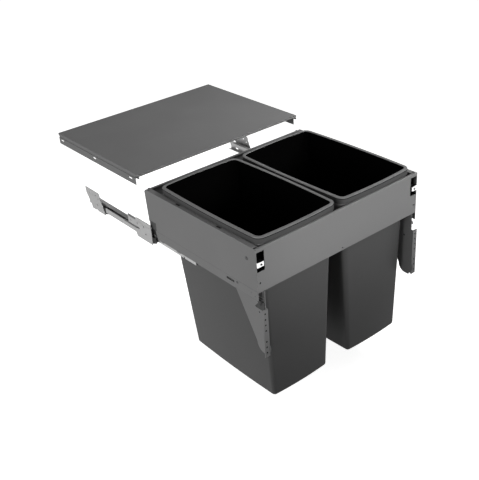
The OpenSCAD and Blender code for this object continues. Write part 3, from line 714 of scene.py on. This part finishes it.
def bin_section(sizes, low, high, depth, inset):
    """Corners, corner radius and bow of a bin's body at a depth below its rim."""
    share = depth / (high.z - low.z)
    start = sizes.rim_width - sizes.wall + inset
    near = Vector((low.x + start + share * sizes.taper_middle,
                   low.y + start + share * sizes.taper_front))
    far = Vector((high.x - start - share * sizes.taper_side,
                  high.y - start - share * sizes.taper_rear))
    upper = sizes.rim_radius - sizes.rim_width / 2
    radius = (1 - share) * upper + share * sizes.foot_radius
    return near, far, max(radius - inset, SMALLEST_RADIUS), sizes.bow * (1 - share * BOW_LOST)


def rim_section(sizes, low, high, inset):
    """Corners, corner radius and bow of the rim, inset from its outer edge."""
    move = Vector((inset, inset))
    return low.xy + move, high.xy - move, sizes.rim_radius - inset, sizes.bow


def arc(radius, steps):
    """Pairs of inset and rise along a quarter round, from its foot to its side."""
    turns = [QUARTER_TURN * i / steps for i in range(steps + 1)]
    return [(radius * (1 - math.sin(t)), radius * (1 - math.cos(t))) for t in turns]


# Places of a bin's three materials in its list: outside, the rim painted lighter as a sheen, and
# the inside painted near black as shade.
OUTSIDE, RIM, INSIDE = range(3)

# Rounding at the foot, radius of the rim's inner edge, slope that keeps level faces apart,
# depth of the groove, and how much thicker the floor is than the wall.
FOOT_ROUND = 7 * MM
BEAD = 1.1 * MM
SLOPE = 0.1 * MM
GROOVE = 1.2 * MM
FLOOR_MORE = 0.8 * MM

# Heights of the groove's lip, foot and roof below its top, in depths of the groove.
GROOVE_LIP, GROOVE_FOOT, GROOVE_ROOF = 1.5, 1.3, 0.2


def bin_rings(sizes, low, high):
    """The bin's rings from the foot up the outside, over the rim and down the inside.

    Each has the material of the band that ends at it, its depth, corners, radius and bow.
    """
    def body(depth, inset=0):
        return depth, *bin_section(sizes, low, high, depth, inset)

    def rim(depth, inset=0):
        return depth, *rim_section(sizes, low, high, inset)

    height = high.z - low.z
    outside = [body(height - rise, inset) for inset, rise in arc(FOOT_ROUND, 5)]
    outside += [body(depth) for depth in (height / 2, sizes.skirt, sizes.wall + SLOPE)]
    top = sizes.groove_drop
    outside += [rim(sizes.wall, sizes.wall),
                rim(sizes.skirt - BEAD, sizes.wall),
                rim(sizes.skirt - SLOPE, sizes.wall - BEAD / 2),
                rim(sizes.skirt, BEAD / 2),
                rim(sizes.skirt - BEAD),
                rim(top + GROOVE_LIP * GROOVE)]
    groove = [rim(top + GROOVE_FOOT * GROOVE, GROOVE),
              rim(top + GROOVE_ROOF * GROOVE, GROOVE),
              rim(top, SLOPE)]
    rolled = [rim(rise, inset + SLOPE) for inset, rise in reversed(arc(2 * BEAD, 4))]
    rolled += [rim(rise + SLOPE, sizes.rim_width - inset) for inset, rise in arc(BEAD, 3)]
    inside = [body(depth, sizes.wall) for depth in (sizes.skirt, height / 2)]
    deep = height - sizes.wall - FLOOR_MORE
    inside += [(deep - rise, *bin_section(sizes, low, high, deep, sizes.wall + inset))
               for inset, rise in reversed(arc(FOOT_ROUND - sizes.wall, 4))]
    # The groove and the inside take the near-black painted shade; the rolled top takes the rim's
    # painted sheen.
    bands = ((OUTSIDE, outside), (INSIDE, groove), (RIM, rolled), (INSIDE, inside))
    return [(material, *ring) for material, rings in bands for ring in rings]


def stud(bm, place, radius, length, turn, axis, tip=None, segments=24):
    """Adds a short round stud, laid down by a turn about an axis, with its middle at a place."""
    verts = bmesh.ops.create_cone(bm, cap_ends=True, segments=segments, radius1=radius,
                                  radius2=tip or radius, depth=length)["verts"]
    bmesh.ops.rotate(bm, verts=verts, cent=(0, 0, 0), matrix=Matrix.Rotation(turn, 3, axis))
    bmesh.ops.translate(bm, verts=verts, vec=place)


def block_fitting(name, sign, blocks, node, slot):
    """A fitting of blocks, each with two distances from the middle, two ends and two heights."""
    bm = bmesh.new()
    for across, ends, heights in blocks:
        block(bm, *zip(sorted(sign * distance for distance in across), ends, heights))
    fitting(name, bm, node, slot)


# Sizes of a screw head and its hexagon in radii of the head, the middles above the panel.
HEAD_HEIGHT = 0.3
HEAD_TIP = 0.8
HEAD_MIDDLE = 0.14
SOCKET_RADIUS = 0.42
SOCKET_HEIGHT = 0.1
SOCKET_MIDDLE = 0.3


def side_screw(sizes, side, sign, node, outer):
    """The head of a side panel's screw with its hexagon."""
    radius = sizes.screw_head / 2
    turn = sign * QUARTER_TURN
    bm = bmesh.new()
    stud(bm, (sign * (outer + HEAD_MIDDLE * radius), *sizes.screw_place), radius,
         HEAD_HEIGHT * radius, turn, "Y", tip=HEAD_TIP * radius, segments=32)
    stud(bm, (sign * (outer + SOCKET_MIDDLE * radius), *sizes.screw_place),
         SOCKET_RADIUS * radius, SOCKET_HEIGHT * radius, turn, "Y", segments=6)
    fitting(f"{side}_side_screw", bm, node, "dark_screws")


# How far pads and underlay reach into the folded top, where the underlay begins and ends
# below it, and what it and the joint line leave free at their ends.
SINK = 0.2 * MM
UNDERLAY_FOOT = 1.5 * MM
UNDERLAY_TOP = 0.1 * MM
END_GAP = 2 * MM

# How far the blocks on a side panel stand out of it and reach into it, and the ledge's length.
PANEL_BLOCK_RISE = 0.05 * MM
PANEL_BLOCK_DEPTH = 1.4 * MM
LEDGE = 14 * MM


def panel_fittings(sizes, side, sign):
    """Screw, pads, underlay, a dark patch of painted shade with its ledge, and joint line of a
    side panel.
    """
    node = f"{side}_side_panel"
    low, high = node_box(node)
    outer = max(abs(low[0]), abs(high[0]))
    inner = outer - sizes.sheet - sizes.fold
    side_screw(sizes, side, sign, node, outer)
    width, length, rise = sizes.pad_size
    middles = [sizes.pad_first + number * sizes.pad_pitch for number in range(2)]
    pads = [((inner, inner + width), (middle - length / 2, middle + length / 2),
             (high[2] - SINK, high[2] + rise)) for middle in middles]
    block_fitting(f"{side}_rim_pads", sign, pads, node, "black_plastic")
    underlay = ((inner + SINK, inner - sizes.underlay), (sizes.fold, high[1] - END_GAP),
                (high[2] - UNDERLAY_FOOT, high[2] - UNDERLAY_TOP))
    block_fitting(f"{side}_fold_underlay", sign, [underlay], node, "frame_paint")
    across = (outer + PANEL_BLOCK_RISE, outer - PANEL_BLOCK_DEPTH)
    front, rear = sizes.shade_patch_ends
    foot, step, top = sizes.shade_patch_height
    # A thin block in bin plastic: painted shade of the recess by the end cap.
    shade_patch = (across, (front, rear), (foot, step))
    block_fitting(f"{side}_cap_cover", sign, [shade_patch], node, "bin_plastic")
    ledge = (across, (rear - LEDGE, rear), (step, top))
    block_fitting(f"{side}_cap_ledge", sign, [ledge], node, "frame_paint")
    joint = node_box(f"{side}_side_strip")[1][2]
    seam = (across, (END_GAP, front), (joint - sizes.seam / 2, joint + sizes.seam / 2))
    block_fitting(f"{side}_strip_seam", sign, [seam], node, "dark_screws")


# A plug's length and its middle outside the bracket's inner face, the length of the dark discs
# painted as shade in the flange's holes, and the pitches below the first hole at which the flange
# has holes.
PLUG_LENGTH = 1.6 * MM
PLUG_MIDDLE = 0.75 * MM
HOLE_SHADE_LENGTH = 1 * MM
FLANGE_HOLES = (0, 1, 2, 3, 5, 6, 7)


def bracket_fittings(sizes, side, sign):
    """The plug in a door bracket and the dark discs of painted shade in its flange's holes."""
    node = f"{side}_door_bracket"
    inner = min(abs(corner[0]) for corner in node_box(node))
    bm = bmesh.new()
    stud(bm, (sign * (inner + PLUG_MIDDLE), *sizes.plug_place), sizes.plug / 2,
         PLUG_LENGTH, QUARTER_TURN, "Y")
    fitting(f"{side}_bracket_plug", bm, node, "black_plastic")
    across, depth, height = sizes.flange_hole
    bm = bmesh.new()
    for number in FLANGE_HOLES:
        stud(bm, (sign * (inner + across), depth, height - number * sizes.hole_pitch),
             sizes.hole_shade / 2, HOLE_SHADE_LENGTH, QUARTER_TURN, "X")
    fitting(f"{side}_flange_caps", bm, node, "black_plastic", "bin_inside")


def plate_fittings(sizes, side, sign):
    """The dark tab of a front wall plate, and the dark mark of painted shade where the plate has
    a slot.
    """
    node = f"{side}_front_wall_plate"
    face = max(abs(corner[0]) for corner in node_box(node))
    across = (face + sizes.dark_mark_rise, face - sizes.dark_mark_rise)
    dark_marks = [(across, sizes.slot_shade_ends, sizes.slot_shade_height),
              (across, sizes.tab_ends, sizes.tab_height)]
    block_fitting(f"{side}_plate_inlays", sign, dark_marks, node, "dark_screws")


class BinFrameFittingsMaker(bpy.types.Operator):
    """Small fittings on the side panels, the door brackets and the front wall plates"""

    bl_idname = "binframe.fittings"
    bl_label = "Fittings"

    def execute(self, context):
        """Makes the fittings of the left side and then those of the right side."""
        sizes = context.scene.binframe_fittings
        for sign, side in zip((-1, 1), SIDES):
            panel_fittings(sizes, side, sign)
            bracket_fittings(sizes, side, sign)
            plate_fittings(sizes, side, sign)
        return {"FINISHED"}


class BinFrameBinsMaker(bpy.types.Operator):
    """The two bins, with rolled rims and round feet"""

    bl_idname = "binframe.bins"
    bl_label = "Bins"

    def execute(self, context):
        """Lofts the right bin from ring to ring and mirrors it to the left."""
        sizes = context.scene.binframe_bins
        low, high = [Vector(corner) for corner in node_box("right_bin")]
        bow_room = Vector((sizes.bow, sizes.bow, 0))
        low += bow_room
        high -= bow_room
        rings = bin_rings(sizes, low, high)
        for side in SIDES:
            bm = bmesh.new()
            loops = [rounded_ring(bm, near, far, radius, high.z - depth, bow)
                     for _, depth, near, far, radius, bow in rings]
            for end in (loops[0], loops[-1]):
                bmesh.ops.contextual_create(bm, geom=end)
            for ring, first, second in zip(rings[1:], loops, loops[1:]):
                for face in bmesh.ops.bridge_loops(bm, edges=first + second)["faces"]:
                    face.material_index = ring[0]
            # The inside floor's cap takes the painted shade too.
            for face in {f for e in loops[-1] for f in e.link_faces}:
                face.material_index = INSIDE
            if side == "left":
                bmesh.ops.scale(bm, verts=bm.verts, vec=(-1, 1, 1))
            bmesh.ops.recalc_face_normals(bm, faces=bm.faces)
            weighted(piece(f"{side}_waste_bin", bm, f"{side}_bin",
                           ["bin_plastic", "bin_rim", "bin_inside"], smooth=60))
        return {"FINISHED"}


def camera_turn(stage):
    """The camera's rotation from its azimuth, elevation and roll."""
    a, e, r = stage.azimuth, stage.elevation, stage.roll
    back = Vector((math.sin(a) * math.cos(e), -math.cos(a) * math.cos(e), math.sin(e)))
    right = Vector((math.cos(a), math.sin(a), 0))
    turn = Matrix((right, back.cross(right), back))
    roll = Matrix(((math.cos(r), math.sin(r), 0), (-math.sin(r), math.cos(r), 0), (0, 0, 1)))
    return (roll @ turn).transposed()


def seen(tree):
    """1 on camera, glossy and transmission rays and 0 on the rest."""
    path = tree.nodes.new("ShaderNodeLightPath")
    total = path.outputs["Is Camera Ray"]
    for ray in ("Is Glossy Ray", "Is Transmission Ray"):
        add = tree.nodes.new("ShaderNodeMath")
        add.operation = "MAXIMUM"
        link(tree, total, add.inputs[0])
        link(tree, path.outputs[ray], add.inputs[1])
        total = add.outputs[0]
    return total


WHITE = (1, 1, 1, 1)


def white_world(scene, ambient):
    """A white world that lights softly and shows as plain white."""
    world = bpy.data.worlds.new("Studio")
    scene.world = world
    world.use_nodes = True
    tree = world.node_tree
    light = tree.nodes["Background"]
    light.inputs["Strength"].default_value = ambient
    light.inputs["Color"].default_value = WHITE
    shown = tree.nodes.new("ShaderNodeBackground")
    shown.inputs["Color"].default_value = WHITE
    mix = tree.nodes.new("ShaderNodeMixShader")
    link(tree, seen(tree), mix.inputs["Fac"])
    link(tree, light.outputs[0], mix.inputs[1])
    link(tree, shown.outputs[0], mix.inputs[2])
    link(tree, mix.outputs[0], tree.nodes["World Output"].inputs["Surface"])


FLOOR_SIZE = 16
FLOOR_COLOUR = (0.9, 0.9, 0.9)
FLOOR_GLOW = 0.82


def pale_floor(z, bounce):
    """A wide pale floor that keeps a soft shadow."""
    bm = bmesh.new()
    bmesh.ops.create_grid(bm, x_segments=1, y_segments=1, size=FLOOR_SIZE)
    bmesh.ops.translate(bm, verts=bm.verts, vec=(0, 0, z))
    mesh = bpy.data.meshes.new("floor")
    bm.to_mesh(mesh)
    bm.free()
    floor = bpy.data.objects.new("floor", mesh)
    bpy.context.scene.collection.objects.link(floor)
    material, tree, shader, place = new_material("Pale floor")
    shade = tree.nodes.new("ShaderNodeMix")
    shade.data_type = "RGBA"
    shade.inputs["A"].default_value = (bounce, bounce, bounce, 1)
    link(tree, seen(tree), shade.inputs["Factor"])
    cloud = noise(tree, place, scale=2)
    link(tree, tinted(tree, cloud, FLOOR_COLOUR, low=0.995, high=1.005), shade.inputs["B"])
    link(tree, shade.outputs["Result"], shader.inputs["Base Color"])
    shader.inputs["Roughness"].default_value = 0.9
    shader.inputs["Specular IOR Level"].default_value = 0.0
    glow = tree.nodes.new("ShaderNodeEmission")
    lift = tree.nodes.new("ShaderNodeMath")
    lift.operation = "MULTIPLY"
    lift.inputs[1].default_value = FLOOR_GLOW
    link(tree, seen(tree), lift.inputs[0])
    link(tree, lift.outputs[0], glow.inputs["Strength"])
    total = tree.nodes.new("ShaderNodeAddShader")
    link(tree, shader.outputs[0], total.inputs[0])
    link(tree, glow.outputs[0], total.inputs[1])
    link(tree, total.outputs[0], tree.nodes["Material Output"].inputs["Surface"])
    mesh.materials.append(material)
    floor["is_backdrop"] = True


def softbox(name, place, target, size, spread, power):
    """An area lamp with a grid that faces a target, its light spread over an angle in degrees."""
    lamp = bpy.data.lights.new(name, "AREA")
    lamp.shape = "RECTANGLE"
    lamp.size, lamp.size_y = size
    lamp.energy = power
    lamp.spread = math.radians(spread)
    made = bpy.data.objects.new(name, lamp)
    bpy.context.scene.collection.objects.link(made)
    made.location = place
    made.rotation_euler = (Vector(target) - Vector(place)).to_track_quat("-Z", "Y").to_euler()


# Place, target and size in metres, and how wide the light spreads in degrees.
SOFTBOXES = {
    "key": dict(place=(0.28, -1.1, 0.4), target=(0.25, 0, 0.06), size=(1.3, 0.3), spread=34),
    "fill": dict(place=(-2.4, 0.2, 0.3), target=(0, 0.2, 0), size=(2, 1.6), spread=180),
    "side": dict(place=(0.9, 0.1, 0.8), target=(0.3, 0.45, 0.13), size=(0.5, 0.5), spread=100),
}
SENSOR = 36
FAR_CLIP = 100


class BinFrameStageMaker(bpy.types.Operator):
    """Floor, soft light and camera"""

    bl_idname = "binframe.stage"
    bl_label = "Stage"

    def execute(self, context):
        """Lays the floor, sets the lamps and aims the camera."""
        scene = context.scene
        stage = scene.binframe_stage
        scene.view_settings.view_transform = "Standard"
        white_world(scene, stage.ambient)
        low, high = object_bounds()
        pale_floor(low[2] - stage.floor_drop, stage.bounce)
        for name, settings in SOFTBOXES.items():
            softbox(f"{name}_softbox", **settings, power=getattr(stage, name))
        camera = bpy.data.cameras.new("Camera")
        camera.lens = stage.lens
        camera.sensor_fit = "HORIZONTAL"
        camera.sensor_width = SENSOR
        camera.clip_end = FAR_CLIP
        made = bpy.data.objects.new("Camera", camera)
        scene.collection.objects.link(made)
        made.matrix_world = Matrix.Translation(stage.camera_place) @ camera_turn(stage).to_4x4()
        scene.camera = made
        return {"FINISHED"}


MAKERS = (BinFramePanels, BinFrameLid, BinFramePlates, BinFrameRails, BinFrameBrackets,
          BinFrameWindows, BinFrameFittingsMaker, BinFrameBinsMaker, BinFrameStageMaker)


class BinFramePanel(bpy.types.Panel):
    """Lists the makers in the sidebar"""

    bl_idname = "VIEW3D_PT_binframe"
    bl_label = "Bin frame"
    bl_space_type = "VIEW_3D"
    bl_region_type = "UI"
    bl_category = "Bin frame"

    def draw(self, context):
        """Draws a button for each maker."""
        for maker in MAKERS:
            self.layout.operator(maker.bl_idname)


SETTINGS = {
    "binframe_finish": BinFrameFinish,
    "binframe_bins": BinFrameBins,
    "binframe_sheets": BinFrameSheets,
    "binframe_fittings": BinFrameFittings,
    "binframe_stage": BinFrameStage,
}


def register():
    """Registers the settings, makers and panel."""
    for group in (*SETTINGS.values(), *MAKERS, BinFramePanel):
        bpy.utils.register_class(group)
    for name, group in SETTINGS.items():
        setattr(bpy.types.Scene, name, PointerProperty(type=group))


def unregister():
    """Takes everything back out."""
    for name in SETTINGS:
        delattr(bpy.types.Scene, name)
    for group in (BinFramePanel, *reversed(MAKERS), *SETTINGS.values()):
        bpy.utils.unregister_class(group)


def main():
    """Makes every piece and the stage."""
    register()
    bpy.ops.binframe.panels()
    bpy.ops.binframe.lid()
    bpy.ops.binframe.plates()
    bpy.ops.binframe.rails()
    bpy.ops.binframe.brackets()
    bpy.ops.binframe.windows()
    bpy.ops.binframe.fittings()
    bpy.ops.binframe.bins()
    bpy.ops.binframe.stage()


if __name__ == "__main__":
    main()
